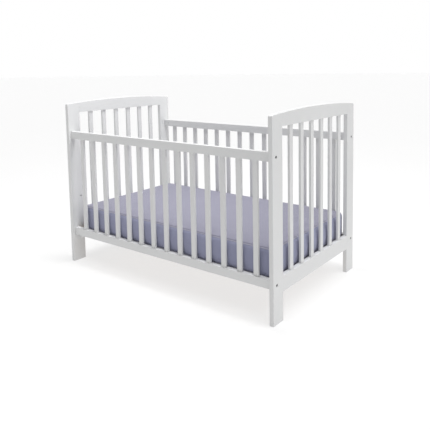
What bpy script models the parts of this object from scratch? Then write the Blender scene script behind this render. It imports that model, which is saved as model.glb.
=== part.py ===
"""A painted wooden cot with fixed slatted sides, arched ends, a slatted deck and a foam mattress.

X runs along the cot, -Y is its front and +Z is up. The origin is on the floor, under the middle.
Every board is its own object. Slats sit in mortises, end rails have stub tenons in the legs, and the
side rails are drawn up to the legs by bolts, whose holes are cut here.
"""

import math

import bmesh
import bpy

# Overall size and stock, in metres.
LENGTH = 1.380
WIDTH = 0.776
ARCH_PEAK = 0.913
ARCH_RADIUS = 4.640
BOARD = 0.022
GAP = 0.0003
CHAMFER = 0.002

# Legs: boards with their wide face along Y.
LEG_WIDTH = 0.077
LEG_CORNER = 0.008
ARCH_STEPS = 14
LEG_ARCH_STEPS = 3
CORNER_STEPS = 3

# End panels.
END_TOP_RAIL_LOW = 0.846
END_BOTTOM_RAIL = (0.130, 0.200)
END_SLATS = 6
TENON_LENGTH = 0.010
TENON_THICKNESS = 0.008
TENON_SHOULDER = 0.010

# Front and back.
SIDE_BOARD = 0.025
SIDE_INSET = 0.015
SIDE_TOP_RAIL = (0.702, 0.742)
SIDE_BOTTOM_RAIL = (0.154, 0.194)
SIDE_SLATS = 14
SIDE_SLAT_PITCH = 0.090

# Slats, all of one section.
SLAT_WIDTH = 0.027
SLAT_THICKNESS = 0.012
SLAT_CHAMFER = 0.0015
MORTISE_DEPTH = 0.012

# Bolts that draw the side rails to the legs, with their cross dowels.
BOLT_HOLE_R = 0.0035
COUNTERBORE_R = 0.0065
COUNTERBORE_DEPTH = 0.007
RAIL_BOLT_DEPTH = 0.050
DOWEL_R = 0.005
DOWEL_DEPTH = 0.019
DOWEL_FROM_END = 0.034
HOLE_SIDES = 12

# Deck supports: a bar at each end, bolted into inserts in the legs at one of two heights.
BAR_HEIGHT = (0.133, 0.169)
BAR_CLEARANCE = 0.0005
INSERT_R = 0.004
INSERT_DEPTH = 0.012
INSERT_FROM_EDGE = 0.061
INSERT_RISE = 0.218
BASE_BOLT_HEAD_R = 0.0065
BASE_BOLT_HEAD = 0.004
BASE_BOLT_R = 0.003
BASE_BOLT_LENGTH = 0.032
SOCKET_R = 0.0025
SOCKET_DEPTH = 0.0025

# Slatted deck.
DECK_CLEARANCE = 0.003
DECK_SLATS = 13
DECK_SLAT_WIDTH = 0.050
DECK_SLAT_THICKNESS = 0.009
DECK_HOUSING = 0.001
STRINGER_WIDTH = 0.022
STRINGER_Y = 0.235
STRINGER_LOW = 0.136
STRINGER_HALF_LENGTH = 0.640

# Mattress.
MATTRESS_LENGTH = 1.300
MATTRESS_WIDTH = 0.690
MATTRESS_HEIGHT = 0.145
MATTRESS_CORNER = 0.024
MATTRESS_EDGE = 0.016
MATTRESS_FOOT = 0.006
MATTRESS_TO_RIGHT = 0.012

# Places that follow from the dimensions above.
LEG_X = (LENGTH - BOARD) / 2
LEG_Y = (WIDTH - LEG_WIDTH) / 2
END_INNER_X = LENGTH / 2 - BOARD
OPENING_Y = WIDTH / 2 - LEG_WIDTH
SIDE_Y = WIDTH / 2 - SIDE_INSET - SIDE_BOARD / 2
SIDE_INNER_Y = SIDE_Y - SIDE_BOARD / 2
BAR_MID = sum(BAR_HEIGHT) / 2
INSERT_Y = WIDTH / 2 - INSERT_FROM_EDGE
DECK_LOW = BAR_HEIGHT[1] + GAP
DECK_TOP = DECK_LOW + DECK_SLAT_THICKNESS

SIDES_X = {"left": -1, "right": 1}
SIDES_Y = {"front": -1, "back": 1}


def clear_scene():
    for obj in list(bpy.data.objects):
        bpy.data.objects.remove(obj, do_unlink=True)


def material(name, colour, roughness, metallic=0.0):
    made = bpy.data.materials.new(name)
    made.use_nodes = True
    shader = made.node_tree.nodes["Principled BSDF"]
    shader.inputs["Base Color"].default_value = (*colour, 1.0)
    shader.inputs["Roughness"].default_value = roughness
    shader.inputs["Metallic"].default_value = metallic
    return made


def arch_height(y):
    """The height of the arched top at a distance y from the middle of an end."""
    return ARCH_PEAK - ARCH_RADIUS + math.sqrt(ARCH_RADIUS**2 - y**2)


def add_box(bm, low, high):
    """A closed box between two corners."""
    box = bmesh.ops.create_cube(bm, size=1.0)
    for vert in box["verts"]:
        vert.co = [low[i] + (vert.co[i] + 0.5) * (high[i] - low[i]) for i in range(3)]
    return box["verts"]


def add_prism(bm, outline, half_thickness):
    """An outline in the YZ plane, extruded along X."""
    face = bm.faces.new([bm.verts.new((-half_thickness, y, z)) for y, z in outline])
    pushed = bmesh.ops.extrude_face_region(bm, geom=[face])["geom"]
    for item in pushed:
        if isinstance(item, bmesh.types.BMVert):
            item.co.x = half_thickness


def add_turned(bm, profile, centre, axis, sides=HOLE_SIDES):
    """A closed turned shape: profile is (distance along the axis, radius), and both ends are capped."""
    u, v = [i for i in range(3) if i != axis]
    rings = []
    for along, radius in profile:
        ring = []
        for k in range(sides):
            angle = 2 * math.pi * (k + 0.5) / sides
            place = list(centre)
            place[axis] += along
            place[u] += radius * math.cos(angle)
            place[v] += radius * math.sin(angle)
            ring.append(bm.verts.new(place))
        rings.append(ring)
    for first, second in zip(rings, rings[1:]):
        for k in range(sides):
            after = (k + 1) % sides
            bm.faces.new((first[k], first[after], second[after], second[k]))
    bm.faces.new(rings[0])
    bm.faces.new(rings[-1])


def make_object(name, bm, place=(0, 0, 0), finish=None, parent=None):
    """The mesh as a named object. With no finish it is a helper, which isn't rendered."""
    bmesh.ops.recalc_face_normals(bm, faces=bm.faces)
    mesh = bpy.data.meshes.new(name)
    bm.to_mesh(mesh)
    bm.free()
    obj = bpy.data.objects.new(name, mesh)
    obj.location = place
    obj.parent = parent
    bpy.context.scene.collection.objects.link(obj)
    if finish is None:
        obj.hide_render = True
        obj.display_type = "WIRE"
    else:
        mesh.materials.append(finish)
    return obj


def chamfer(obj, width):
    bevel = obj.modifiers.new("Eased edges", "BEVEL")
    bevel.width = width
    bevel.segments = 1
    bevel.limit_method = "ANGLE"
    bevel.angle_limit = math.radians(40)


def combine(obj, other, operation):
    boolean = obj.modifiers.new(operation.capitalize(), "BOOLEAN")
    boolean.object = other
    boolean.operation = operation
    boolean.solver = "EXACT"


def evenly(count, pitch):
    """Positions of a row of equal pieces, centred on zero."""
    return [(i - (count - 1) / 2) * pitch for i in range(count)]


def end_slat_places():
    free = 2 * OPENING_Y - END_SLATS * SLAT_WIDTH
    return evenly(END_SLATS, SLAT_WIDTH + free / (END_SLATS + 1))


def leg_outline(outer):
    """Square at the floor, arched at the top, with a rounded outer corner. outer is -1 or 1."""
    half = LEG_WIDTH / 2
    inner_edge, outer_edge = OPENING_Y, WIDTH / 2
    points = [(half, 0.0), (-half, 0.0)]
    last = outer_edge - LEG_CORNER
    for i in range(LEG_ARCH_STEPS + 1):
        y = inner_edge + (last - inner_edge) * i / LEG_ARCH_STEPS
        points.append((y - LEG_Y, arch_height(y)))
    middle_z = arch_height(last) - LEG_CORNER
    for i in range(1, CORNER_STEPS + 1):
        turn = math.pi / 2 * (1 - i / CORNER_STEPS)
        points.append((last - LEG_Y + LEG_CORNER * math.cos(turn), middle_z + LEG_CORNER * math.sin(turn)))
    return [(outer * y, z) for y, z in points]


def tenon_span(rail_low, rail_high):
    return rail_low + TENON_SHOULDER, rail_high - TENON_SHOULDER


def make_leg(name, side_x, side_y, finish):
    """A leg, with bolt holes through it, two inserts' holes and the mortises of the two end rails."""
    bm = bmesh.new()
    add_prism(bm, leg_outline(side_y), BOARD / 2)
    leg = make_object(name, bm, (side_x * LEG_X, side_y * LEG_Y, 0.0), finish)
    chamfer(leg, CHAMFER)
    cuts = bmesh.new()
    outer, inner = side_x * BOARD / 2, -side_x * BOARD / 2
    past = side_x * CHAMFER
    bolt_y = side_y * (SIDE_Y - LEG_Y)
    for low, high in (SIDE_TOP_RAIL, SIDE_BOTTOM_RAIL):
        step = outer - side_x * COUNTERBORE_DEPTH
        profile = (
            (inner - past, BOLT_HOLE_R),
            (step, BOLT_HOLE_R),
            (step, COUNTERBORE_R),
            (outer + past, COUNTERBORE_R),
        )
        add_turned(cuts, profile, (0, bolt_y, (low + high) / 2), 0)
    insert_y = side_y * (INSERT_Y - LEG_Y)
    for rise in (0.0, INSERT_RISE):
        profile = ((inner - past, INSERT_R), (inner + side_x * INSERT_DEPTH, INSERT_R))
        add_turned(cuts, profile, (0, insert_y, BAR_MID + rise), 0)
    edge = -side_y * LEG_WIDTH / 2
    deep = edge + side_y * (TENON_LENGTH + GAP)
    half = TENON_THICKNESS / 2 + GAP
    for low, high in (END_BOTTOM_RAIL, (END_TOP_RAIL_LOW, arch_height(OPENING_Y))):
        low, high = tenon_span(low, high)
        y_low, y_high = sorted((edge - side_y * CHAMFER, deep))
        add_box(cuts, (-half, y_low, low - GAP), (half, y_high, high + GAP))
    combine(leg, make_object("cut_" + name, cuts, parent=leg), "DIFFERENCE")


def add_tenons(rail, name, span):
    """Joins a stub tenon to each end of an end rail."""
    tenons = bmesh.new()
    low, high = tenon_span(*span)
    for side in (-1, 1):
        y_low, y_high = sorted((side * (OPENING_Y + TENON_LENGTH), side * (OPENING_Y - 2 * TENON_LENGTH)))
        add_box(tenons, (-TENON_THICKNESS / 2, y_low, low), (TENON_THICKNESS / 2, y_high, high))
    combine(rail, make_object("tenons_" + name, tenons, parent=rail), "UNION")


def cut_end_mortises(rail, name, face_z, into):
    """Mortises for the end's slats, cut into the rail's lower or upper face. into is 1 for upwards."""
    cuts = bmesh.new()
    half_x, half_y = SLAT_THICKNESS / 2 + GAP, SLAT_WIDTH / 2 + GAP
    for y in end_slat_places():
        z_low, z_high = sorted((face_z - into * CHAMFER, face_z + into * (MORTISE_DEPTH + GAP)))
        add_box(cuts, (-half_x, y - half_y, z_low), (half_x, y + half_y, z_high))
    combine(rail, make_object("cut_" + name, cuts, parent=rail), "DIFFERENCE")


def make_end_rails(side, side_x, finish):
    """The arched top rail and the straight bottom rail of one end."""
    half = OPENING_Y - GAP
    outline = [(half, END_TOP_RAIL_LOW), (-half, END_TOP_RAIL_LOW)]
    for i in range(ARCH_STEPS + 1):
        y = -half + 2 * half * i / ARCH_STEPS
        outline.append((y, arch_height(y)))
    name = "end_top_rail_" + side
    bm = bmesh.new()
    add_prism(bm, outline, BOARD / 2)
    top = make_object(name, bm, (side_x * LEG_X, 0.0, 0.0), finish)
    chamfer(top, CHAMFER)
    add_tenons(top, name, (END_TOP_RAIL_LOW, arch_height(OPENING_Y)))
    cut_end_mortises(top, name, END_TOP_RAIL_LOW, 1)

    name = "end_bottom_rail_" + side
    bm = bmesh.new()
    low, high = END_BOTTOM_RAIL
    add_box(bm, (-BOARD / 2, -half, low), (BOARD / 2, half, high))
    bottom = make_object(name, bm, (side_x * LEG_X, 0.0, 0.0), finish)
    chamfer(bottom, CHAMFER)
    add_tenons(bottom, name, END_BOTTOM_RAIL)
    cut_end_mortises(bottom, name, high, -1)


def make_side_rail(name, side_y, span, mortises_up, finish):
    """A front or back rail, with its slats' mortises and the holes of its end bolts and cross dowels."""
    half_length = END_INNER_X - GAP
    half_height = (span[1] - span[0]) / 2
    bm = bmesh.new()
    half_thickness = SIDE_BOARD / 2
    add_box(bm, (-half_length, -half_thickness, -half_height), (half_length, half_thickness, half_height))
    rail = make_object(name, bm, (0.0, side_y * SIDE_Y, (span[0] + span[1]) / 2), finish)
    chamfer(rail, CHAMFER)
    cuts = bmesh.new()
    half_x, half_y = SLAT_WIDTH / 2 + GAP, SLAT_THICKNESS / 2 + GAP
    into = -1 if mortises_up else 1
    face_z = -into * half_height
    for x in evenly(SIDE_SLATS, SIDE_SLAT_PITCH):
        z_low, z_high = sorted((face_z - into * CHAMFER, face_z + into * (MORTISE_DEPTH + GAP)))
        add_box(cuts, (x - half_x, -half_y, z_low), (x + half_x, half_y, z_high))
    for end in (-1, 1):
        profile = ((-end * RAIL_BOLT_DEPTH, BOLT_HOLE_R), (end * CHAMFER, BOLT_HOLE_R))
        add_turned(cuts, profile, (end * half_length, 0.0, 0.0), 0)
    combine(rail, make_object("cut_" + name, cuts, parent=rail), "DIFFERENCE")
    dowels = bmesh.new()
    inner = -side_y * half_thickness
    for end in (-1, 1):
        profile = ((inner - side_y * CHAMFER, DOWEL_R), (inner + side_y * DOWEL_DEPTH, DOWEL_R))
        add_turned(dowels, profile, (end * (half_length - DOWEL_FROM_END), 0.0, 0.0), 1)
    combine(rail, make_object("cut_dowels_" + name, dowels, parent=rail), "DIFFERENCE")


def make_slat(name, place, along_x, span, finish):
    """One slat, whose ends go into the mortises of the rails below and above it."""
    half_x, half_y = SLAT_WIDTH / 2, SLAT_THICKNESS / 2
    if not along_x:
        half_x, half_y = half_y, half_x
    low = span[0] - MORTISE_DEPTH
    high = span[1] + MORTISE_DEPTH
    bm = bmesh.new()
    add_box(bm, (-half_x, -half_y, 0.0), (half_x, half_y, high - low))
    long_edges = [edge for edge in bm.edges if abs(edge.verts[0].co.z - edge.verts[1].co.z) > SLAT_WIDTH]
    bmesh.ops.bevel(bm, geom=long_edges, offset=SLAT_CHAMFER, segments=1, affect="EDGES")
    make_object(name, bm, (*place, low), finish)


def make_base_bar(name, side_x, finish):
    """A bar across one end, against the legs, which carries the deck's end slat."""
    half_length = SIDE_INNER_Y - BAR_CLEARANCE
    half_height = (BAR_HEIGHT[1] - BAR_HEIGHT[0]) / 2
    bm = bmesh.new()
    add_box(bm, (-BOARD / 2, -half_length, -half_height), (BOARD / 2, half_length, half_height))
    place_x = side_x * (END_INNER_X - GAP - BOARD / 2)
    bar = make_object(name, bm, (place_x, 0.0, BAR_MID), finish)
    chamfer(bar, CHAMFER)
    cuts = bmesh.new()
    for side_y in SIDES_Y.values():
        profile = ((-BOARD / 2 - CHAMFER, BOLT_HOLE_R), (BOARD / 2 + CHAMFER, BOLT_HOLE_R))
        add_turned(cuts, profile, (0.0, side_y * INSERT_Y, 0.0), 0)
    combine(bar, make_object("cut_" + name, cuts, parent=bar), "DIFFERENCE")


def make_base_bolt(name, side_x, side_y, finish):
    """A hexagon socket bolt, put in from inside the cot, with its head on the bar."""
    out = side_x
    profile = (
        (-out * BASE_BOLT_HEAD, BASE_BOLT_HEAD_R),
        (0.0, BASE_BOLT_HEAD_R),
        (0.0, BASE_BOLT_R),
        (out * BASE_BOLT_LENGTH, BASE_BOLT_R),
    )
    bm = bmesh.new()
    add_turned(bm, profile, (0, 0, 0), 0)
    head_seat = side_x * (END_INNER_X - 2 * GAP - BOARD)
    bolt = make_object(name, bm, (head_seat, side_y * INSERT_Y, BAR_MID), finish)
    socket = bmesh.new()
    profile = ((-out * 2 * BASE_BOLT_HEAD, SOCKET_R), (-out * (BASE_BOLT_HEAD - SOCKET_DEPTH), SOCKET_R))
    add_turned(socket, profile, (0, 0, 0), 0, sides=6)
    combine(bolt, make_object("socket_" + name, socket, parent=bolt), "DIFFERENCE")


def make_deck(finish):
    """Cross slats housed on two stringers and glued, which lift out as one piece."""
    half_length = END_INNER_X - DECK_CLEARANCE
    half_width = SIDE_INNER_Y - DECK_CLEARANCE
    bm = bmesh.new()
    for side in (-1, 1):
        y = side * STRINGER_Y
        low = (-STRINGER_HALF_LENGTH, y - STRINGER_WIDTH / 2, STRINGER_LOW)
        add_box(bm, low, (STRINGER_HALF_LENGTH, y + STRINGER_WIDTH / 2, DECK_LOW + DECK_HOUSING))
    deck = make_object("mattress_base", bm, finish=finish)
    slats = bmesh.new()
    pitch = (2 * half_length - DECK_SLAT_WIDTH) / (DECK_SLATS - 1)
    for x in evenly(DECK_SLATS, pitch):
        low = (x - DECK_SLAT_WIDTH / 2, -half_width, DECK_LOW)
        add_box(slats, low, (x + DECK_SLAT_WIDTH / 2, half_width, DECK_TOP))
    combine(deck, make_object("deck_slats", slats, parent=deck), "UNION")


def make_mattress(finish):
    bm = bmesh.new()
    half_x, half_y = MATTRESS_LENGTH / 2, MATTRESS_WIDTH / 2
    add_box(bm, (-half_x, -half_y, 0.0), (half_x, half_y, MATTRESS_HEIGHT))
    corners = [edge for edge in bm.edges if abs(edge.verts[0].co.z - edge.verts[1].co.z) > MATTRESS_EDGE]
    bmesh.ops.bevel(bm, geom=corners, offset=MATTRESS_CORNER, segments=5, affect="EDGES", profile=0.5)
    for height, radius in ((0.0, MATTRESS_FOOT), (MATTRESS_HEIGHT, MATTRESS_EDGE)):
        rim = [edge for edge in bm.edges if all(abs(vert.co.z - height) < GAP for vert in edge.verts)]
        bmesh.ops.bevel(bm, geom=rim, offset=radius, segments=2, affect="EDGES", profile=0.5)
    make_object("mattress", bm, (MATTRESS_TO_RIGHT, 0.0, DECK_TOP + GAP), finish)


clear_scene()
paint = material("frame_paint", (0.83, 0.83, 0.84), 0.38)
pale_wood = material("deck_wood", (0.80, 0.66, 0.47), 0.6)
steel = material("bolt_steel", (0.55, 0.55, 0.56), 0.35, 1.0)
cover = material("mattress_cover", (0.42, 0.41, 0.54), 0.85)

for side, side_x in SIDES_X.items():
    make_end_rails(side, side_x, paint)
    make_base_bar("base_bar_" + side, side_x, paint)
    for i, y in enumerate(end_slat_places(), 1):
        span = (END_BOTTOM_RAIL[1], END_TOP_RAIL_LOW)
        make_slat(f"slat_{side}_{i}", (side_x * LEG_X, y), False, span, paint)
    for front_back, side_y in SIDES_Y.items():
        make_leg(f"leg_{front_back}_{side}", side_x, side_y, paint)
        make_base_bolt(f"base_bolt_{front_back}_{side}", side_x, side_y, steel)

for front_back, side_y in SIDES_Y.items():
    make_side_rail("side_top_rail_" + front_back, side_y, SIDE_TOP_RAIL, False, paint)
    make_side_rail("side_bottom_rail_" + front_back, side_y, SIDE_BOTTOM_RAIL, True, paint)
    for i, x in enumerate(evenly(SIDE_SLATS, SIDE_SLAT_PITCH), 1):
        span = (SIDE_BOTTOM_RAIL[1], SIDE_TOP_RAIL[0])
        make_slat(f"slat_{front_back}_{i:02d}", (x, side_y * SIDE_Y), True, span, paint)

make_deck(pale_wood)
make_mattress(cover)
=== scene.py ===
"""A painted wooden cot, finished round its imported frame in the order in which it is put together."""

import math

import bpy
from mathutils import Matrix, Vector


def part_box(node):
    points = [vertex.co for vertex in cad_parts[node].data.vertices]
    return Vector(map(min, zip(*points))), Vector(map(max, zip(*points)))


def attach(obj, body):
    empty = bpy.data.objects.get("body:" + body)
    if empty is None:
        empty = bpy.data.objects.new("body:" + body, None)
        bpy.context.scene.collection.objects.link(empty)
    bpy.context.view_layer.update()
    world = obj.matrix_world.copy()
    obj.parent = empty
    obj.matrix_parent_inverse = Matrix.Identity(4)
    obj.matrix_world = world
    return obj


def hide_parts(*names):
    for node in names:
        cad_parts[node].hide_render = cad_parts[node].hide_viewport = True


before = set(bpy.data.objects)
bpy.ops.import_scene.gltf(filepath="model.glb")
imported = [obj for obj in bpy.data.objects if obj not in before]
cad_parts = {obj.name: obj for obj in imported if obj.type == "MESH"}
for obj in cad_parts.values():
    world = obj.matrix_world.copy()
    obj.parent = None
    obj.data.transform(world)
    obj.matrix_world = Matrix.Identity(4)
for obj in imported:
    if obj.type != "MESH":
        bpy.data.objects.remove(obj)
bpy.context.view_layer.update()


# ------------------------------------------------------------------------------------------- Legs
# Four hardwood boards, 22 mm thick, sawn to follow the arch of the ends and painted satin white.
# Free edges are rounded over. Where a rail butts against a leg the edge stays crisp, so that the
# painted joint is only a hairline. Bolts go through counterbores, and deck inserts are let in inside.

ROUND_OVER = 0.0025
LEG_CORNER = 0.008
BOLT_HOLE_R = 0.0035
COUNTERBORE_R = 0.0065
COUNTERBORE_DEPTH = 0.007
INSERT_HOLE_R = 0.004
INSERT_HOLE_DEPTH = 0.012
INSERT_RISE = 0.218
TENON_THICKNESS = 0.008
TENON_SHOULDER = 0.010
FIT = 0.0003
RIGHT_THROUGH = 0.06
ARCH_SIDES = 1440
SHARP = math.radians(30)
SMOOTH_BELOW = math.radians(40)
PAINT_DARK = (0.612, 0.615, 0.617)
PAINT_LIGHT = (0.686, 0.689, 0.691)

leg_low, leg_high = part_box("leg_front_right")
end_top_low, end_top_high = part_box("end_top_rail_right")
end_bottom_low, end_bottom_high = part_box("end_bottom_rail_right")
side_top_low, side_top_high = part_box("side_top_rail_front")
side_bottom_low, side_bottom_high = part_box("side_bottom_rail_front")
bar_low, bar_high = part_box("base_bar_right")
bolt_low, bolt_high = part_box("base_bolt_front_right")

leg_mid = (leg_low + leg_high) / 2
opening_y = -leg_high.y
side_y = (side_top_low.y + side_top_high.y) / 2
bolted_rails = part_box("side_top_rail_front"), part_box("side_bottom_rail_front")
bolt_heights = [(low.z + high.z) / 2 for low, high in bolted_rails]
insert_y = (bolt_low.y + bolt_high.y) / 2
insert_heights = [(bar_low.z + bar_high.z) / 2 + rise for rise in (0.0, INSERT_RISE)]
arch_peak = end_top_high.z
arch_rise = arch_peak - leg_high.z
arch_radius = (opening_y**2 + arch_rise**2) / (2 * arch_rise)


def only(obj):
    """Makes this the one selected and active object, in object mode."""
    bpy.ops.object.select_all(action="DESELECT")
    obj.select_set(True)
    bpy.context.view_layer.objects.active = obj


def block(name, low, high):
    """A box between two corners."""
    bpy.ops.object.select_all(action="DESELECT")
    middle = [(a + b) / 2 for a, b in zip(low, high)]
    bpy.ops.mesh.primitive_cube_add(size=1, location=middle)
    obj = bpy.context.active_object
    obj.name = name
    obj.scale = [b - a for a, b in zip(low, high)]
    bpy.ops.object.transform_apply(location=True, rotation=True, scale=True)
    return obj


def rod(name, centre, axis, radius, length, sides=32):
    """A cylinder whose middle is at centre, along the axis X or Y or Z."""
    bpy.ops.object.select_all(action="DESELECT")
    quarter = math.pi / 2
    turn = {"X": (0, quarter, 0), "Y": (quarter, 0, 0), "Z": (0, 0, 0)}[axis]
    bpy.ops.mesh.primitive_cylinder_add(
        vertices=sides, radius=radius, depth=length, location=centre, rotation=turn
    )
    obj = bpy.context.active_object
    obj.name = name
    bpy.ops.object.transform_apply(location=True, rotation=True, scale=True)
    return obj


def cut(obj, *cutters, operation="DIFFERENCE"):
    """Cuts the shapes from the object, or joins or keeps them, and removes them."""
    for cutter in cutters:
        only(obj)
        boolean = obj.modifiers.new("Cut", "BOOLEAN")
        boolean.operation = operation
        boolean.object = cutter
        bpy.ops.object.modifier_apply(modifier=boolean.name)
        bpy.data.objects.remove(cutter)


def row(obj, count, step):
    """Repeats the object along step, as one mesh."""
    only(obj)
    array = obj.modifiers.new("Row", "ARRAY")
    array.count = count
    array.use_relative_offset = False
    array.use_constant_offset = True
    array.constant_offset_displace = step
    array.use_merge_vertices = False
    bpy.ops.object.modifier_apply(modifier=array.name)
    return obj


def choose_edges(obj, wanted):
    """Leaves the object in edit mode with the sharp edges for which wanted(end, end) is true selected."""
    only(obj)
    bpy.ops.object.mode_set(mode="EDIT")
    bpy.ops.mesh.select_mode(type="EDGE")
    bpy.ops.mesh.select_all(action="DESELECT")
    bpy.ops.mesh.edges_select_sharp(sharpness=SHARP)
    bpy.ops.object.mode_set(mode="OBJECT")
    mesh = obj.data
    kept = [
        e.index
        for e in mesh.edges
        if e.select and wanted(mesh.vertices[e.vertices[0]].co, mesh.vertices[e.vertices[1]].co)
    ]
    bpy.ops.object.mode_set(mode="EDIT")
    bpy.ops.mesh.select_all(action="DESELECT")
    bpy.ops.object.mode_set(mode="OBJECT")
    for index in kept:
        mesh.edges[index].select = True
    bpy.ops.object.mode_set(mode="EDIT")


def round_edges(obj, wanted, radius=ROUND_OVER, segments=3):
    """Rounds over the sharp edges for which wanted(end, end) is true."""
    choose_edges(obj, wanted)
    bpy.ops.mesh.bevel(offset=radius, segments=segments, profile=0.5, affect="EDGES")
    bpy.ops.object.mode_set(mode="OBJECT")


def slice_across(obj, point, normal):
    """Adds an edge loop where a plane crosses the object."""
    only(obj)
    bpy.ops.object.mode_set(mode="EDIT")
    bpy.ops.mesh.select_all(action="SELECT")
    bpy.ops.mesh.bisect(plane_co=point, plane_no=normal)
    bpy.ops.object.mode_set(mode="OBJECT")


def mirrored(obj, name, across_x=False, across_y=False):
    """A copy with its own mesh, mirrored in the cot's middle planes, with its faces still outwards."""
    only(obj)
    bpy.ops.object.duplicate(linked=False)
    copy = bpy.context.active_object
    copy.name = name
    copy.scale = (-1 if across_x else 1, -1 if across_y else 1, 1)
    bpy.ops.object.transform_apply(location=True, rotation=True, scale=True)
    bpy.ops.object.mode_set(mode="EDIT")
    bpy.ops.mesh.select_all(action="SELECT")
    bpy.ops.mesh.normals_make_consistent(inside=False)
    bpy.ops.object.mode_set(mode="OBJECT")
    return copy


def moved(obj, name, step):
    """A copy with its own mesh, moved by step."""
    only(obj)
    bpy.ops.object.duplicate(linked=False)
    copy = bpy.context.active_object
    copy.name = name
    copy.location = step
    bpy.ops.object.transform_apply(location=True, rotation=True, scale=True)
    return copy


def fit_piece(obj, body, slot, finish, *nodes):
    """Smooths the round-overs, paints the piece and makes it ride on its body in place of CAD nodes."""
    only(obj)
    bpy.ops.object.shade_smooth_by_angle(angle=SMOOTH_BELOW)
    weighted = obj.modifiers.new("Flat faces", "WEIGHTED_NORMAL")
    weighted.keep_sharp = True
    bpy.ops.object.modifier_apply(modifier=weighted.name)
    obj.data.materials.clear()
    obj.data.materials.append(finish)
    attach(obj, body)
    if nodes:
        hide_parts(*nodes)
    return obj


class Wire:
    """A shader socket that Python arithmetic can be done on."""

    def __init__(self, finish, socket):
        self.finish = finish
        self.socket = socket

    def maths(self, operation, first, second):
        return self.finish.node("ShaderNodeMath", {"operation": operation}, {0: first, 1: second})

    def __add__(self, other):
        return self.maths("ADD", self, other)

    def __mul__(self, other):
        return self.maths("MULTIPLY", self, other)


class Finish:
    """A material with a Principled shader. node() adds any other node and returns one of its outputs."""

    def __init__(self, name, **fixed):
        self.material = bpy.data.materials.new(name)
        self.material.use_nodes = True
        self.tree = self.material.node_tree
        self.shader = self.tree.nodes["Principled BSDF"]
        for socket, value in fixed.items():
            self.shader.inputs[socket.replace("_", " ")].default_value = value

    def node(self, kind, settings, inputs, output=0):
        made = self.tree.nodes.new(kind)
        for name, value in settings.items():
            setattr(made, name, value)
        for socket, value in inputs.items():
            if isinstance(value, Wire):
                self.tree.links.new(value.socket, made.inputs[socket])
            else:
                made.inputs[socket].default_value = value
        return Wire(self, made.outputs[output])

    def place(self, scale=(1, 1, 1)):
        """Object coordinates, in metres, stretched by scale."""
        where = self.node("ShaderNodeTexCoord", {}, {}, "Object")
        return self.node("ShaderNodeMapping", {}, {"Vector": where, "Scale": scale})

    def noise(self, where, scale, detail=2.0, roughness=0.5):
        inputs = {"Vector": where, "Scale": scale, "Detail": detail, "Roughness": roughness}
        return self.node("ShaderNodeTexNoise", {}, inputs, "Fac")

    def between(self, amount, first, second):
        """A colour that goes from the first to the second as amount goes from 0 to 1."""
        inputs = {0: amount, 6: (*first, 1.0), 7: (*second, 1.0)}
        return self.node("ShaderNodeMix", {"data_type": "RGBA", "clamp_factor": True}, inputs, 2)

    def give(self, socket, wire):
        self.tree.links.new(wire.socket, self.shader.inputs[socket])

    def bump(self, height, distance, strength=1.0):
        """Relief from a height of 0 to 1, distance metres deep."""
        inputs = {"Height": height, "Distance": distance, "Strength": strength}
        self.give("Normal", self.node("ShaderNodeBump", {}, inputs, "Normal"))


def satin_paint(name, grain):
    """White satin paint over close-grained wood, which shows faintly along the grain as fine lines."""
    finish = Finish(name, Specular_IOR_Level=0.5, Coat_Weight=0.12, Coat_Roughness=0.22)
    along = finish.place([1 if axis in grain else 14 for axis in "XYZ"])
    lines = finish.noise(along, 34, detail=5.0, roughness=0.62)
    peel = finish.noise(finish.place(), 420, detail=1.0)
    cloud = finish.noise(finish.place(), 3.1, detail=2.0)
    tone = cloud * 0.7 + lines * 0.3
    finish.give("Base Color", finish.between(tone, PAINT_DARK, PAINT_LIGHT))
    finish.give("Roughness", cloud * 0.14 + lines * 0.10 + 0.27)
    finish.bump(lines * 0.75 + peel * 0.25, 0.00022, 0.5)
    return finish.material


paint_upright = satin_paint("paint_upright", "Z")
paint_lengthwise = satin_paint("paint_lengthwise", "X")
paint_crosswise = satin_paint("paint_crosswise", "Y")


def arch_bow(x):
    """A drum lying along X, whose top is the arch of both ends."""
    return rod("arch_bow", (x, 0, arch_peak - arch_radius), "X", arch_radius, 0.2, ARCH_SIDES)


def meets_rail(a, b):
    """Whether an edge of a leg lies in the joint with an end rail."""
    in_joint = max(abs(a.y - leg_high.y), abs(b.y - leg_high.y)) < FIT
    z = (a.z + b.z) / 2
    return in_joint and (end_bottom_low.z < z < end_bottom_high.z or z > end_top_low.z)


leg = block("leg_front_right", leg_low, (leg_high.x, leg_high.y, arch_peak + LEG_CORNER))
cut(leg, arch_bow(leg_mid.x), operation="INTERSECT")
corner_z = arch_peak - arch_radius + math.sqrt(arch_radius**2 - leg_low.y**2)
top_corner = Vector((0, leg_low.y, corner_z))
round_edges(
    leg,
    lambda a, b: max((a - top_corner).yz.length, (b - top_corner).yz.length) < LEG_CORNER / 4,
    LEG_CORNER,
    6,
)
for height in (end_bottom_low.z, end_bottom_high.z, end_top_low.z):
    slice_across(leg, (0, 0, height), (0, 0, 1))
round_edges(leg, lambda a, b: not meets_rail(a, b))

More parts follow.
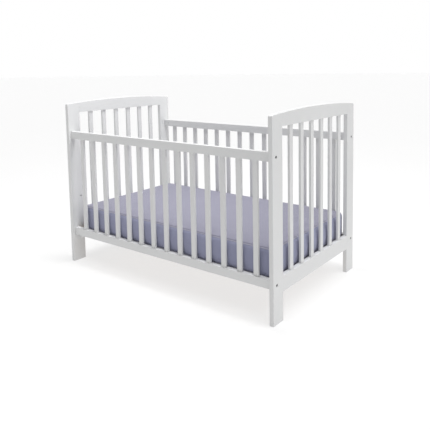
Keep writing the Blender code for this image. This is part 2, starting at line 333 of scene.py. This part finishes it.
for height in bolt_heights:
    hole = rod("bolt_hole", (leg_mid.x, side_y, height), "X", BOLT_HOLE_R, RIGHT_THROUGH)
    seat_x = leg_high.x + (FIT - COUNTERBORE_DEPTH) / 2
    seat = rod("counterbore", (seat_x, side_y, height), "X", COUNTERBORE_R, COUNTERBORE_DEPTH + FIT)
    cut(leg, hole, seat)
for height in insert_heights:
    middle = (leg_low.x + INSERT_HOLE_DEPTH / 2 - FIT, insert_y, height)
    cut(leg, rod("insert_hole", middle, "X", INSERT_HOLE_R, INSERT_HOLE_DEPTH))
tenon_top = end_top_low.z + TENON_SHOULDER, leg_high.z - TENON_SHOULDER
tenon_bottom = end_bottom_low.z + TENON_SHOULDER, end_bottom_high.z - TENON_SHOULDER
tenon_end = end_top_low.y
for low, high in (tenon_top, tenon_bottom):
    half = TENON_THICKNESS / 2 + FIT
    corner = (leg_mid.x - half, tenon_end - FIT, low - FIT)
    opposite = (leg_mid.x + half, leg_high.y + FIT, high + FIT)
    cut(leg, block("mortise", corner, opposite))

legs = {
    "leg_front_right": leg,
    "leg_front_left": mirrored(leg, "leg_front_left", across_x=True),
    "leg_back_right": mirrored(leg, "leg_back_right", across_y=True),
    "leg_back_left": mirrored(leg, "leg_back_left", across_x=True, across_y=True),
}
for node, piece in legs.items():
    piece.name = "painted_" + node
    fit_piece(piece, "frame", "frame_paint", paint_upright, node)


# -------------------------------------------------------------------------------------- End rails
# An arched top rail and a straight bottom rail join the legs at each end. They are as thick as the
# legs and flush with them, with stub tenons glued into the legs and six mortises for the slats.

SLAT_CLEARANCE = 0.0003
END_SLATS = 6
MORTISE_DEPTH = 0.0123

slat_low, slat_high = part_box("slat_right_1")
end_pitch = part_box("slat_right_2")[0].y - slat_low.y


def end_mortises(z_low, z_high):
    """The six mortises of one end rail, as one shape."""
    wide = Vector((SLAT_CLEARANCE, SLAT_CLEARANCE, 0))
    low, high = slat_low - wide, slat_high + wide
    first = block("mortise", (low.x, low.y, z_low), (high.x, high.y, z_high))
    return row(first, END_SLATS, (0, end_pitch, 0))


def add_tenons(rail, span):
    """Joins the stub tenons that go into the legs."""
    half = TENON_THICKNESS / 2
    low = (leg_mid.x - half, tenon_end, span[0])
    high = (leg_mid.x + half, -tenon_end, span[1])
    cut(rail, block("tenons", low, high), operation="UNION")


def at_shoulder(a, b):
    """Whether an edge lies in an end face of an end rail."""
    return min(abs(a.y), abs(b.y)) > opening_y - 2 * FIT


shoulder = opening_y - FIT
end_top = block(
    "end_top", (leg_low.x, -shoulder, end_top_low.z), (leg_high.x, shoulder, arch_peak + LEG_CORNER)
)
cut(end_top, arch_bow(leg_mid.x), operation="INTERSECT")
round_edges(end_top, lambda a, b: not at_shoulder(a, b))
cut(end_top, end_mortises(end_top_low.z - FIT, end_top_low.z + MORTISE_DEPTH))
add_tenons(end_top, tenon_top)

end_bottom = block(
    "end_bottom", (leg_low.x, -shoulder, end_bottom_low.z), (leg_high.x, shoulder, end_bottom_high.z)
)
round_edges(end_bottom, lambda a, b: not at_shoulder(a, b))
cut(end_bottom, end_mortises(end_bottom_high.z - MORTISE_DEPTH, end_bottom_high.z + FIT))
add_tenons(end_bottom, tenon_bottom)

for kind, rail in (("top", end_top), ("bottom", end_bottom)):
    for side, piece in (("left", mirrored(rail, "copy", across_x=True)), ("right", rail)):
        node = f"end_{kind}_rail_{side}"
        piece.name = "painted_" + node
        fit_piece(piece, "frame", "frame_paint", paint_crosswise, node)


# --------------------------------------------------------------------------------------- Side rails
# Two long rails at the front and two at the back, set in a little from the legs' outer edges. Each
# end is bored for a bolt, which is drawn up by a cross dowel let in from the inside face.

SIDE_SLATS = 14
RAIL_BOLT_DEPTH = 0.050
DOWEL_R = 0.005
DOWEL_HOLE_DEPTH = 0.019
DOWEL_FROM_END = 0.034

bar_slat_low, bar_slat_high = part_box("slat_front_01")
side_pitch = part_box("slat_front_02")[0].x - bar_slat_low.x
rail_end = side_top_high.x


def side_mortises(z_low, z_high):
    """The fourteen mortises of one side rail, as one shape."""
    wide = Vector((SLAT_CLEARANCE, SLAT_CLEARANCE, 0))
    low, high = bar_slat_low - wide, bar_slat_high + wide
    first = block("mortise", (low.x, low.y, z_low), (high.x, high.y, z_high))
    return row(first, SIDE_SLATS, (side_pitch, 0, 0))


def side_rail(name, low, high, mortises):
    """A front rail, whose ends stay crisp where they meet the legs."""
    rail = block(name, low, high)
    round_edges(rail, lambda a, b: min(abs(a.x), abs(b.x)) < rail_end - FIT)
    cut(rail, mortises)
    middle_z = (low.z + high.z) / 2
    for end in (-1, 1):
        bored = rod("bored", (end * rail_end, side_y, middle_z), "X", BOLT_HOLE_R, 2 * RAIL_BOLT_DEPTH)
        across_x = end * (rail_end - DOWEL_FROM_END)
        across = rod(
            "across",
            (across_x, high.y - DOWEL_HOLE_DEPTH / 2 + FIT, middle_z),
            "Y",
            DOWEL_R,
            DOWEL_HOLE_DEPTH,
        )
        cut(rail, bored, across)
    return rail


side_rails = {
    "top": side_rail(
        "side_top",
        side_top_low,
        side_top_high,
        side_mortises(side_top_low.z - FIT, side_top_low.z + MORTISE_DEPTH),
    ),
    "bottom": side_rail(
        "side_bottom",
        side_bottom_low,
        side_bottom_high,
        side_mortises(side_bottom_high.z - MORTISE_DEPTH, side_bottom_high.z + FIT),
    ),
}
for kind, rail in side_rails.items():
    for side, piece in (("back", mirrored(rail, "copy", across_y=True)), ("front", rail)):
        node = f"side_{kind}_rail_{side}"
        piece.name = "painted_" + node
        fit_piece(piece, "frame", "frame_paint", paint_lengthwise, node)


# ------------------------------------------------------------------------------------------- Slats
# Flat slats of one section, 27 x 12 mm, with their long edges rounded over. Fourteen stand in each
# side and six in each end, glued into mortises in the rails above and below them.

SLAT_ROUND_OVER = 0.002
LONG_EDGE = 0.1


def slat(name, node):
    """A slat that fills the box of a node."""
    low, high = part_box(node)
    piece = block(name, low, high)
    round_edges(piece, lambda a, b: abs(a.z - b.z) > LONG_EDGE, SLAT_ROUND_OVER)
    return piece


first_side_slat = slat("side_slat", "slat_front_01")
first_end_slat = slat("end_slat", "slat_right_1")
for side in ("front", "back"):
    for i in range(SIDE_SLATS):
        node = f"slat_{side}_{i + 1:02d}"
        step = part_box(node)[0] - bar_slat_low
        piece = moved(first_side_slat, "painted_" + node, step)
        fit_piece(piece, "frame", "frame_paint", paint_upright, node)
for side in ("left", "right"):
    for i in range(END_SLATS):
        node = f"slat_{side}_{i + 1}"
        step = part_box(node)[0] - slat_low
        piece = moved(first_end_slat, "painted_" + node, step)
        fit_piece(piece, "frame", "frame_paint", paint_upright, node)
for pattern in (first_side_slat, first_end_slat):
    bpy.data.objects.remove(pattern)


# --------------------------------------------------------------------------------- Side rail bolts
# Eight steel bolts with hexagon sockets, sunk in the legs' counterbores. Each runs into a slotted
# cross dowel in its rail. The dowels lie just below the rail's inside face.

HEAD_R = 0.0058
HEAD_HEIGHT = 0.0050
SHANK_R = 0.0029
SHANK_LENGTH = 0.060
SOCKET_R = 0.0030
SOCKET_DEPTH = 0.0030
DOWEL_LENGTH = 0.0150
DOWEL_SUNK = 0.0012
DOWEL_SLOT = 0.0014
DOWEL_EASE = 0.0005
SHANK_SIDES = 24
DARK_STEEL = (0.16, 0.16, 0.17)
BRIGHT_STEEL = (0.56, 0.56, 0.58)


def steel(name, colour, roughness):
    """Plated steel with faint turning marks and uneven sheen."""
    finish = Finish(name, Metallic=1.0)
    marks = finish.noise(finish.place((6, 6, 1)), 260, detail=3.0)
    dull = finish.noise(finish.place(), 90, detail=2.0)
    darker = [channel * 0.7 for channel in colour]
    finish.give("Base Color", finish.between(dull, darker, colour))
    finish.give("Roughness", marks * 0.2 + (roughness - 0.1))
    finish.bump(marks, 0.00004)
    return finish.material


dark_steel = steel("dark_steel", DARK_STEEL, 0.42)
bright_steel = steel("bright_steel", BRIGHT_STEEL, 0.34)


def socket_bolt(name, seat, head_r, head_height, shank_length):
    """A bolt along X, whose head sits on the point seat and whose shank points to -X."""
    bolt = rod(name, (seat[0] + head_height / 2, seat[1], seat[2]), "X", head_r, head_height)
    choose_edges(bolt, lambda a, b: min(a.x, b.x) > seat[0] + head_height / 2)
    bpy.ops.mesh.bevel(offset=head_height / 8, segments=2, affect="EDGES")
    bpy.ops.object.mode_set(mode="OBJECT")
    shank_middle = (seat[0] - shank_length / 2 + FIT, seat[1], seat[2])
    cut(bolt, rod("shank", shank_middle, "X", SHANK_R, shank_length, SHANK_SIDES), operation="UNION")
    socket_x = seat[0] + head_height
    cut(bolt, rod("socket", (socket_x, seat[1], seat[2]), "X", SOCKET_R, 2 * SOCKET_DEPTH, sides=6))
    return bolt


for kind, height in zip(("top", "bottom"), bolt_heights):
    seat = (leg_high.x - COUNTERBORE_DEPTH, side_y, height)
    bolt = socket_bolt("side_bolt", seat, HEAD_R, HEAD_HEIGHT, SHANK_LENGTH)
    dowel_end = side_top_high.y - DOWEL_SUNK
    dowel_x = rail_end - DOWEL_FROM_END
    dowel_middle = (dowel_x, dowel_end - DOWEL_LENGTH / 2, height)
    dowel = rod("cross_dowel", dowel_middle, "Y", DOWEL_R - FIT, DOWEL_LENGTH)
    round_edges(dowel, lambda a, b: True, DOWEL_EASE, 2)
    slot_low = (dowel_x - DOWEL_SLOT / 2, dowel_end - DOWEL_SLOT, height - DOWEL_R)
    slot_high = (dowel_x + DOWEL_SLOT / 2, dowel_end + DOWEL_SLOT, height + DOWEL_R)
    cut(dowel, block("slot", slot_low, slot_high))
    cut(dowel, rod("thread", dowel_middle, "X", SHANK_R + FIT, 4 * DOWEL_R, SHANK_SIDES))
    for pattern, word, finish in ((bolt, "bolt", dark_steel), (dowel, "cross_dowel", bright_steel)):
        for side_x in ("left", "right"):
            for side in ("front", "back"):
                name = f"{word}_{kind}_{side}_{side_x}"
                piece = mirrored(pattern, name, across_x=side_x == "left", across_y=side == "back")
                fit_piece(piece, "frame", "bolt_steel", finish)
        bpy.data.objects.remove(pattern)


# ------------------------------------------------------------------------------- Inserts and bars
# Threaded inserts stand in the inside of each leg at two heights. A painted bar across each end is
# bolted to one pair of them, here the lower pair, and carries the end slat of the deck.

INSERT_LENGTH = 0.0112
INSERT_WALL = 0.0007
INSERT_EASE = 0.0002

for height, word in zip(insert_heights, ("lower", "upper")):
    middle = (leg_low.x + INSERT_LENGTH / 2 + 2 * FIT, insert_y, height)
    insert = rod("insert", middle, "X", INSERT_HOLE_R - FIT, INSERT_LENGTH)
    cut(insert, rod("thread", middle, "X", INSERT_HOLE_R - INSERT_WALL, 2 * INSERT_LENGTH))
    round_edges(insert, lambda a, b: True, INSERT_EASE, 2)
    for side_x in ("left", "right"):
        for side in ("front", "back"):
            name = f"insert_{word}_{side}_{side_x}"
            piece = mirrored(insert, name, across_x=side_x == "left", across_y=side == "back")
            fit_piece(piece, "frame", "bolt_steel", bright_steel)
    bpy.data.objects.remove(insert)

bar = block("base_bar", bar_low, bar_high)
round_edges(bar, lambda a, b: True)
bar_mid = (bar_low + bar_high) / 2
for y in (insert_y, -insert_y):
    cut(bar, rod("bar_hole", (bar_mid.x, y, bar_mid.z), "X", BOLT_HOLE_R, RIGHT_THROUGH))
for side, piece in (("left", mirrored(bar, "copy", across_x=True)), ("right", bar)):
    piece.name = "painted_base_bar_" + side
    fit_piece(piece, "frame", "frame_paint", paint_crosswise, "base_bar_" + side)

head_r = (bolt_high.z - bolt_low.z) / 2
head_height = bar_low.x - bolt_low.x - FIT
bolt_seat = (-(bolt_low.x + head_height), insert_y, bar_mid.z)
shank_length = bolt_high.x - bolt_low.x - head_height
bar_bolt = socket_bolt("bar_bolt", bolt_seat, head_r, head_height, shank_length)
for side_x in ("left", "right"):
    for side in ("front", "back"):
        name = f"base_bolt_{side}_{side_x}"
        piece = mirrored(bar_bolt, "steel_" + name, across_x=side_x == "right", across_y=side == "back")
        fit_piece(piece, "frame", "bolt_steel", bright_steel, name)
bpy.data.objects.remove(bar_bolt)


# -------------------------------------------------------------------------------------------- Deck
# Thirteen bare softwood slats screwed to two stringers. The deck lies on the end bars under the
# mattress and lifts out in one piece.

DECK_SLATS = 13
DECK_SLAT_WIDTH = 0.050
DECK_SLAT_THICKNESS = 0.009
STRINGER_WIDTH = 0.022
STRINGER_Y = 0.235
STRINGER_END = 0.640
DECK_ROUND_OVER = 0.0015
SCREW_R = 0.0034
SCREW_LENGTH = 0.008
SCREW_SUNK = 0.0004
SCREW_SIDES = 20
SCREW_STEP = 0.012
CROSS_ARM = 0.00238
CROSS_WIDTH = 0.00035
CROSS_DEPTH = 0.0012
WOOD_LIGHT = (0.70, 0.56, 0.39)
WOOD_DARK = (0.55, 0.40, 0.25)

deck_low, deck_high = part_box("mattress_base")
slat_under = deck_high.z - DECK_SLAT_THICKNESS


def softwood(name, grain):
    """Sanded softwood: early and late growth in long bands, with fine pores along the grain."""
    finish = Finish(name, Specular_IOR_Level=0.35)
    along = finish.place([0.35 if axis in grain else 6 for axis in "XYZ"])
    growth = finish.noise(along, 9, detail=3.0, roughness=0.55)
    bands = finish.node("ShaderNodeMath", {"operation": "PINGPONG"}, {0: growth * 9, 1: 1.0})
    pores = finish.noise(finish.place([4 if axis in grain else 60 for axis in "XYZ"]), 14, detail=4.0)
    tone = bands * 0.7 + pores * 0.3
    finish.give("Base Color", finish.between(tone, WOOD_LIGHT, WOOD_DARK))
    finish.give("Roughness", pores * 0.2 + 0.5)
    finish.bump(bands * 0.5 + pores * 0.5, 0.0003, 0.6)
    return finish.material


slat_wood = softwood("deck_slat_wood", "Y")
stringer_wood = softwood("stringer_wood", "X")

first_x = deck_low.x + DECK_SLAT_WIDTH / 2
deck_pitch = (deck_high.x - deck_low.x - DECK_SLAT_WIDTH) / (DECK_SLATS - 1)
slat_corner = (deck_low.x + DECK_SLAT_WIDTH, deck_high.y, deck_high.z)
deck_slat = block("deck_slat", (deck_low.x, deck_low.y, slat_under), slat_corner)
round_edges(deck_slat, lambda a, b: True, DECK_ROUND_OVER)
screw_middle = (first_x, STRINGER_Y, deck_high.z - SCREW_LENGTH / 2)
screw = rod("deck_screw", screw_middle, "Z", SCREW_R, SCREW_LENGTH, SCREW_SIDES)
round_edges(screw, lambda a, b: min(a.z, b.z) > deck_high.z - SCREW_LENGTH / 2, SCREW_SUNK, 2)
for half_x, half_y in ((CROSS_ARM, CROSS_WIDTH), (CROSS_WIDTH, CROSS_ARM)):
    low = (first_x - half_x, STRINGER_Y - half_y, deck_high.z - CROSS_DEPTH)
    high = (first_x + half_x, STRINGER_Y + half_y, deck_high.z + CROSS_DEPTH)
    cut(screw, block("cross", low, high))
for i in range(DECK_SLATS):
    step = Vector((i * deck_pitch, 0, 0))
    piece = moved(deck_slat, f"deck_slat_{i + 1:02d}", step)
    for y, word in ((STRINGER_Y, "back"), (-STRINGER_Y, "front")):
        for nudge, end in ((-SCREW_STEP, "a"), (SCREW_STEP, "b")):
            screw_x = first_x + step.x + nudge
            if abs(screw_x) > STRINGER_END:
                continue
            place = (screw_x, y, deck_high.z)
            cut(piece, rod("screw_hole", place, "Z", SCREW_R + FIT / 2, RIGHT_THROUGH, SCREW_SIDES))
            shift = step + Vector((nudge, y - STRINGER_Y, -SCREW_SUNK))
            fixing = moved(screw, f"deck_screw_{word}_{i + 1:02d}{end}", shift)
            fit_piece(fixing, "mattress_base", "bolt_steel", bright_steel)
    stands_for = ["mattress_base"] if i == 0 else []
    fit_piece(piece, "mattress_base", "deck_wood", slat_wood, *stands_for)
for pattern in (deck_slat, screw):
    bpy.data.objects.remove(pattern)

stringer = block(
    "stringer_back",
    (-STRINGER_END, STRINGER_Y - STRINGER_WIDTH / 2, deck_low.z),
    (STRINGER_END, STRINGER_Y + STRINGER_WIDTH / 2, slat_under),
)
round_edges(stringer, lambda a, b: True, DECK_ROUND_OVER)
for piece in (mirrored(stringer, "stringer_front", across_y=True), stringer):
    fit_piece(piece, "mattress_base", "deck_wood", stringer_wood)


# ---------------------------------------------------------------------------------------- Mattress
# A foam mattress, 1300 x 690 x 145 mm, in a woven lavender-grey cover. The cover is stuffed a little
# over its seams, so the top is crowned and the sides pull in at the piping round both rims.

VOXEL = 0.010
STUFFING_PRESSURE = 0.2
STUFFING_FRAMES = 20
MOST_SWELL = 0.012
SIDE_SLACK = 0.004
TOP_SLACK = 0.003
CORNER = 0.024
RIM = 0.015
FOOT = 0.006
PIPING_R = 0.0022
TOP_SEAM = 0.012
BOTTOM_SEAM = 0.012
SEAM_DEPTH = 0.0022
SEAM_WIDTH = 0.007
PUCKER = 0.0005
PUCKER_STEP = 0.034
THREAD_PITCH = 0.0022
CORNER_STEPS = 12
LONG_SIDE_STEPS = 60
SHORT_SIDE_STEPS = 32
COVER_DARK = (0.214, 0.210, 0.270)
COVER_LIGHT = (0.262, 0.258, 0.325)
# Painted shade tint: the cover is one cloth, and these bluer, lighter colours on its sides below the top
# seam stand in for how light falls there.
SIDE_SHADE_TINT_DARK = (0.240, 0.250, 0.362)
SIDE_SHADE_TINT_LIGHT = (0.302, 0.312, 0.436)
PIPING_DARK = (0.31, 0.305, 0.385)
PIPING_LIGHT = (0.37, 0.365, 0.45)

pad_low, pad_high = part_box("mattress")
pad_mid = (pad_low + pad_high) / 2
reach = (pad_high - pad_low) / 2 - Vector((CORNER, CORNER, 0))
seams = [pad_low.z + BOTTOM_SEAM, pad_high.z - TOP_SEAM]


def woven(name, dark, light, side_shade_tint=None):
    """Plain weave at about a thread a millimetre, with uneven yarn. Below the top seam is a painted shade
    tint.
    """
    finish = Finish(name, Specular_IOR_Level=0.25, Sheen_Weight=0.2, Sheen_Roughness=0.5)
    where = finish.place((2 * math.pi / THREAD_PITCH,) * 3)
    apart = finish.node("ShaderNodeSeparateXYZ", {}, {"Vector": where}).socket.node
    waves = [
        finish.node("ShaderNodeMath", {"operation": "SINE"}, {0: Wire(finish, apart.outputs[axis])})
        for axis in "XYZ"
    ]
    thread = waves[0] * waves[1] + waves[1] * waves[2] + waves[0] * waves[2]
    yarn = finish.noise(finish.place(), 180, detail=3.0)
    cloud = finish.noise(finish.place(), 5, detail=3.0)
    tone = thread * 0.10 + yarn * 0.35 + cloud * 0.35 + 0.15
    colour = finish.between(tone, dark, light)
    # Painted shade: below the top seam the cloth is mixed to the bluer side shade tint, not to a second
    # fabric.
    if side_shade_tint:
        height = finish.node("ShaderNodeSeparateXYZ", {}, {"Vector": finish.place()}, "Z")
        shaded_side_mask = finish.node("ShaderNodeMath", {"operation": "LESS_THAN"}, {0: height, 1: seams[1]})
        sides = finish.between(tone, *side_shade_tint)
        colour = finish.node("ShaderNodeMix", {"data_type": "RGBA"}, {0: shaded_side_mask, 6: colour, 7: sides}, 2)
    finish.give("Base Color", colour)
    finish.give("Roughness", yarn * 0.12 + 0.78)
    finish.bump(thread * 0.5 + yarn * 0.7, 0.0005, 0.5)
    return finish.material


cover_cloth = woven("cover_cloth", COVER_DARK, COVER_LIGHT, side_shade_tint=(SIDE_SHADE_TINT_DARK, SIDE_SHADE_TINT_LIGHT))
piping_cloth = woven("piping_cloth", PIPING_DARK, PIPING_LIGHT)

mattress = block(
    "mattress_cover",
    (pad_low.x + SIDE_SLACK, pad_low.y + SIDE_SLACK, pad_low.z),
    (pad_high.x - SIDE_SLACK, pad_high.y - SIDE_SLACK, pad_high.z - TOP_SLACK),
)
round_edges(mattress, lambda a, b: abs(a.z - b.z) > RIM, CORNER, 8)
round_edges(mattress, lambda a, b: min(a.z, b.z) > pad_mid.z, RIM, 5)
round_edges(mattress, lambda a, b: max(a.z, b.z) < pad_mid.z and abs(a.z - b.z) < FOOT, FOOT, 3)
voxels = mattress.modifiers.new("Voxels", "REMESH")
voxels.mode = "VOXEL"
voxels.voxel_size = VOXEL
only(mattress)
bpy.ops.object.modifier_apply(modifier=voxels.name)

before = [vert.co.copy() for vert in mattress.data.vertices]
cloth = mattress.modifiers.new("Stuffing", "CLOTH")
cloth.settings.quality = 6
cloth.settings.tension_stiffness = 25
cloth.settings.compression_stiffness = 25
cloth.settings.bending_stiffness = 2
cloth.settings.use_pressure = True
cloth.settings.uniform_pressure_force = STUFFING_PRESSURE
cloth.settings.effector_weights.gravity = 0
for step in range(1, STUFFING_FRAMES + 1):
    bpy.context.scene.frame_set(step)
only(mattress)
bpy.ops.object.modifier_apply(modifier=cloth.name)
bpy.context.scene.frame_set(1)
for vert, start in zip(mattress.data.vertices, before):
    swell = vert.co - start
    if swell.length > MOST_SWELL:
        vert.co = start + swell.normalized() * MOST_SWELL

finer = mattress.modifiers.new("Finer", "SUBSURF")
finer.levels = 1
finer.render_levels = 1
only(mattress)
bpy.ops.object.modifier_apply(modifier=finer.name)

for vert in mattress.data.vertices:
    vert.co.z = max(vert.co.z, pad_low.z)
    from_mid = vert.co - pad_mid
    past = Vector((max(abs(from_mid.x) - reach.x, 0), max(abs(from_mid.y) - reach.y, 0), 0))
    if past.length < CORNER / 2:
        continue
    outwards = Vector((math.copysign(past.x, from_mid.x), math.copysign(past.y, from_mid.y), 0))
    outwards.normalize()
    along = from_mid.x + from_mid.y
    depth = SEAM_DEPTH + PUCKER * math.sin(2 * math.pi * along / PUCKER_STEP)
    for seam in seams:
        vert.co -= outwards * depth * math.exp(-(((vert.co.z - seam) / SEAM_WIDTH) ** 2))
only(mattress)
bpy.ops.object.shade_smooth()
mattress.data.materials.clear()
mattress.data.materials.append(cover_cloth)
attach(mattress, "mattress")
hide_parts("mattress")


def rim_points(z):
    """Points round the mattress at this height, on its surface, at even steps."""
    points = []
    for quarter in range(4):
        sign_x = 1 if quarter in (0, 3) else -1
        sign_y = 1 if quarter in (0, 1) else -1
        corner = Vector((pad_mid.x + sign_x * reach.x, pad_mid.y + sign_y * reach.y, z))
        starts = []
        for i in range(CORNER_STEPS + 1):
            turn = math.pi / 2 * (quarter + i / CORNER_STEPS)
            away = Vector((math.cos(turn), math.sin(turn), 0))
            starts.append((corner, away))
        following = Vector((-away.y, away.x, 0))
        steps, side = (LONG_SIDE_STEPS, reach.x) if quarter in (0, 2) else (SHORT_SIDE_STEPS, reach.y)
        starts += [(corner + following * 2 * side * i / steps, away) for i in range(1, steps)]
        for start, away in starts:
            hit, place, _, _ = mattress.ray_cast(start + away * 4 * CORNER, -away)
            points.append(place if hit else start + away * CORNER)
    return points


for word, z in zip(("bottom", "top"), seams):
    spots = rim_points(z)
    line = bpy.data.curves.new("piping_" + word, "CURVE")
    line.dimensions = "3D"
    line.bevel_depth = PIPING_R
    line.bevel_resolution = 3
    spline = line.splines.new("POLY")
    spline.points.add(len(spots) - 1)
    spline.use_cyclic_u = True
    for point, spot in zip(spline.points, spots):
        point.co = (*spot, 1.0)
    piping = bpy.data.objects.new("piping_" + word, line)
    bpy.context.scene.collection.objects.link(piping)
    only(piping)
    bpy.ops.object.convert(target="MESH")
    piping = bpy.context.active_object
    bpy.ops.object.shade_smooth()
    piping.data.materials.clear()
    piping.data.materials.append(piping_cloth)
    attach(piping, "mattress")


# ------------------------------------------------------------------------- Floor, light and camera
# A pale studio floor, with a weak glow that keeps its shadows faint, under a sky that is brightest
# near the horizon. One broad lamp far above leans to the right, and a softbox hangs over the middle.

FLOOR_RADIUS = 60.0
FLOOR_SIDES = 96
FLOOR_GLOW = 0.69
HORIZON_GLOW = 1.0
SKY_GLOW = 0.20
SKY_FROM = 0.14
SKY_TO = 0.28
FLOOR_DARK = (0.27, 0.27, 0.27)
FLOOR_LIGHT = (0.29, 0.29, 0.29)
TOP_LAMP_TOWARDS = (0.38, 0.04, 0.92)
OVERHEAD_HEIGHT = 2.9

bpy.ops.object.select_all(action="DESELECT")
bpy.ops.mesh.primitive_circle_add(vertices=FLOOR_SIDES, radius=FLOOR_RADIUS, fill_type="NGON")
floor = bpy.context.active_object
floor.name = "studio_floor"
floor_finish = Finish(
    "floor_finish",
    Specular_IOR_Level=0.2,
    Roughness=0.7,
    Emission_Color=(1.0, 1.0, 1.0, 1.0),
    Emission_Strength=FLOOR_GLOW,
)
floor_tone = floor_finish.noise(floor_finish.place(), 1.5)
floor_finish.give("Base Color", floor_finish.between(floor_tone, FLOOR_DARK, FLOOR_LIGHT))
floor.data.materials.append(floor_finish.material)

sky = bpy.data.worlds.new("soft_sky")
sky.use_nodes = True
links = sky.node_tree.links
background = sky.node_tree.nodes["Background"]
direction = sky.node_tree.nodes.new("ShaderNodeTexCoord")
parts = sky.node_tree.nodes.new("ShaderNodeSeparateXYZ")
glow = sky.node_tree.nodes.new("ShaderNodeMapRange")
links.new(direction.outputs["Generated"], parts.inputs["Vector"])
links.new(parts.outputs["Z"], glow.inputs["Value"])
glow.inputs["From Min"].default_value = SKY_FROM
glow.inputs["From Max"].default_value = SKY_TO
glow.inputs["To Min"].default_value = HORIZON_GLOW
glow.inputs["To Max"].default_value = SKY_GLOW
links.new(glow.outputs["Result"], background.inputs["Strength"])
background.inputs["Color"].default_value = (1.0, 1.0, 1.0, 1.0)
bpy.context.scene.world = sky
bpy.context.scene.view_settings.view_transform = "Standard"

top_lamp = bpy.data.lights.new("top_lamp", "SUN")
top_lamp.energy = 2.35
top_lamp.angle = math.radians(60)
far_off = bpy.data.objects.new("top_lamp", top_lamp)
far_off.rotation_euler = Vector(TOP_LAMP_TOWARDS).to_track_quat("Z", "Y").to_euler()
bpy.context.scene.collection.objects.link(far_off)

overhead = bpy.data.lights.new("overhead_lamp", "AREA")
overhead.shape = "RECTANGLE"
overhead.size = 1.2
overhead.size_y = 0.6
overhead.energy = 50
hung = bpy.data.objects.new("overhead_lamp", overhead)
hung.location = (0, 0, OVERHEAD_HEIGHT)
hung.visible_camera = False
bpy.context.scene.collection.objects.link(hung)

view_data = bpy.data.cameras.new("view")
view_data.sensor_width = 36.0
view_data.lens = 43.595
view_data.shift_x = -0.1047
view_data.shift_y = -0.2302
view = bpy.data.objects.new("view", view_data)
view.location = (1.8503, -2.1312, 1.0999)
view.rotation_euler = (math.radians(84.419), math.radians(0.596), math.radians(34.922))
bpy.context.scene.collection.objects.link(view)
bpy.context.scene.camera = view
